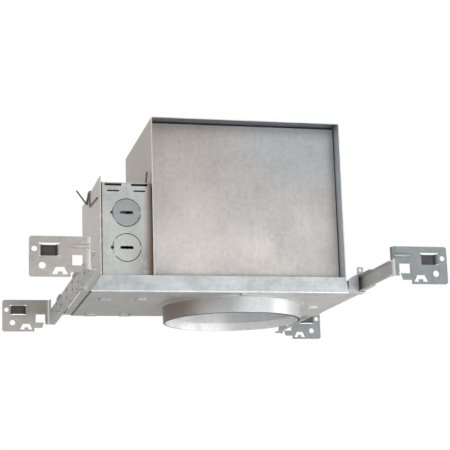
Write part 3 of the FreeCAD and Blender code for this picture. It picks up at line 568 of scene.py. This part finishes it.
class HOUSING_OT_finishes(bpy.types.Operator):
    """Give every CAD node its procedural finish."""
    bl_idname = "housing.finishes"
    bl_label = "Apply finishes"

    def execute(self, context):
        finishes = context.scene.housing_finishes
        made = sheet_finishes(finishes, shared_groups())
        made.update(fitting_finishes(finishes))
        for part in frame["record"]["subparts"]:
            slots = frame["nodes"][part["node"]].data.materials
            slots.clear()
            slots.append(made[part["material_slot"]])
        return {"FINISHED"}


# Stage, in metres apart from the camera's sensor

SENSOR_WIDTH = 36.0
VIEW_DISTANCE = 50.0
FLOOR_SIZE = 12.0
BOX_MIDDLE, BEHIND_RIM = (0.0, 0.0, 0.1), (0.0, 0.05, 0.0)
WHITE, WARM_WHITE = (1.0, 1.0, 1.0), (1.0, 0.95, 0.89)
COOL_WHITE, FAINTLY_COOL = (0.96, 0.98, 1.0), (0.98, 0.99, 1.0)


def area_light(name, place, target, size, power, tint):
    """A rectangular light that shines from a place at a target."""
    data = bpy.data.lights.new(name, "AREA")
    data.shape = "RECTANGLE"
    data.size, data.size_y = size
    data.energy = power
    data.color = tint
    light = bpy.data.objects.new(name, data)
    light.location = place
    direction = Vector(target) - light.location
    light.rotation_euler = direction.to_track_quat("-Z", "Y").to_euler()
    bpy.context.scene.collection.objects.link(light)


def camera_matrix(stage):
    """The camera's frame from its yaw, pitch and roll."""
    forward = Vector((sin(stage.yaw) * cos(stage.pitch), cos(stage.yaw) * cos(stage.pitch),
                      sin(stage.pitch)))
    right = Vector((cos(stage.yaw), -sin(stage.yaw), 0.0))
    down = forward.cross(right)
    rolled_right = cos(stage.roll) * right + sin(stage.roll) * down
    rolled_down = -sin(stage.roll) * right + cos(stage.roll) * down
    turn = Matrix((rolled_right, -rolled_down, -forward)).transposed()
    place = Matrix.Translation((stage.camera_x, stage.camera_y, stage.camera_z))
    return place @ turn.to_4x4()


def add_camera(scene, stage):
    """The camera that looks as the photo does."""
    data = bpy.data.cameras.new("photo_camera")
    data.sensor_width = SENSOR_WIDTH
    data.lens = stage.lens
    data.clip_end = VIEW_DISTANCE
    camera = bpy.data.objects.new("photo_camera", data)
    camera.matrix_world = camera_matrix(stage)
    scene.collection.objects.link(camera)
    scene.camera = camera


def add_floor(stage):
    """A matt pale floor under the housing."""
    bpy.ops.object.select_all(action="DESELECT")
    bpy.ops.mesh.primitive_plane_add(size=FLOOR_SIZE, location=(0.0, 0.0, -stage.floor_drop))
    floor = bpy.context.object
    floor.name = "floor"
    floor.data.materials.append(plain_material("floor_matt", stage.floor_shade, 0.0, 0.9))


def add_lights(stage):
    """A large key, a warm light on the left and two low lights under the pan."""
    area_light("key_light", (0.9, -1.7, 1.3), BOX_MIDDLE, (1.2, 1.2), stage.key_power, COOL_WHITE)
    area_light("left_light", (-1.6, -1.0, 0.5), BOX_MIDDLE, (0.9, 1.2), stage.left_power,
               WARM_WHITE)
    area_light("under_light", (0.5, -1.2, -0.3), BEHIND_RIM, (0.9, 0.25), stage.under_power,
               WHITE)
    area_light("right_light", (1.5, -0.5, -0.1), ORIGIN, (0.6, 0.5), stage.right_power,
               FAINTLY_COOL)


def add_surroundings(scene, stage):
    """White surroundings that light softly and look fully white to the camera."""
    world = bpy.data.worlds.new("white_surroundings")
    scene.world = world
    world.use_nodes = True
    nodes, links = world.node_tree.nodes, world.node_tree.links
    lighting = nodes["Background"]
    lighting.inputs["Color"].default_value = (*WHITE, 1.0)
    lighting.inputs["Strength"].default_value = stage.world_strength
    backdrop = nodes.new("ShaderNodeBackground")
    backdrop.inputs["Color"].default_value = (*WHITE, 1.0)
    backdrop.inputs["Strength"].default_value = 1.0
    path = nodes.new("ShaderNodeLightPath")
    mix = nodes.new("ShaderNodeMixShader")
    links.new(path.outputs["Is Camera Ray"], mix.inputs[0])
    links.new(lighting.outputs[0], mix.inputs[1])
    links.new(backdrop.outputs[0], mix.inputs[2])
    links.new(mix.outputs[0], nodes["World Output"].inputs["Surface"])


class HOUSING_OT_stage(bpy.types.Operator):
    """Set up the camera, the lights, the floor and the white surroundings."""
    bl_idname = "housing.stage"
    bl_label = "Build stage"

    def execute(self, context):
        stage = context.scene.housing_stage
        add_camera(context.scene, stage)
        add_floor(stage)
        add_lights(stage)
        add_surroundings(context.scene, stage)
        context.scene.view_settings.view_transform = "Standard"
        return {"FINISHED"}


class HOUSING_PT_panel(bpy.types.Panel):
    """Settings and steps of the housing's looks."""
    bl_label = "Housing"
    bl_idname = "HOUSING_PT_panel"
    bl_space_type = "VIEW_3D"
    bl_region_type = "UI"
    bl_category = "Housing"

    def draw(self, context):
        scene = context.scene
        for group in (scene.housing_finishes, scene.housing_stage):
            for name in group.__annotations__:
                self.layout.prop(group, name)
        for step in STEPS:
            self.layout.operator(step.bl_idname)


STEPS = (HOUSING_OT_finishes, HOUSING_OT_stage)
GROUPS = (HousingFinishes, HousingStage)


def register():
    for item in GROUPS + STEPS + (HOUSING_PT_panel,):
        bpy.utils.register_class(item)
    bpy.types.Scene.housing_finishes = bpy.props.PointerProperty(type=HousingFinishes)
    bpy.types.Scene.housing_stage = bpy.props.PointerProperty(type=HousingStage)


def unregister():
    del bpy.types.Scene.housing_stage
    del bpy.types.Scene.housing_finishes
    for item in reversed(GROUPS + STEPS + (HOUSING_PT_panel,)):
        bpy.utils.unregister_class(item)


def main():
    register()
    bpy.ops.housing.finishes()
    bpy.ops.housing.stage()


if __name__ == "__main__":
    main()
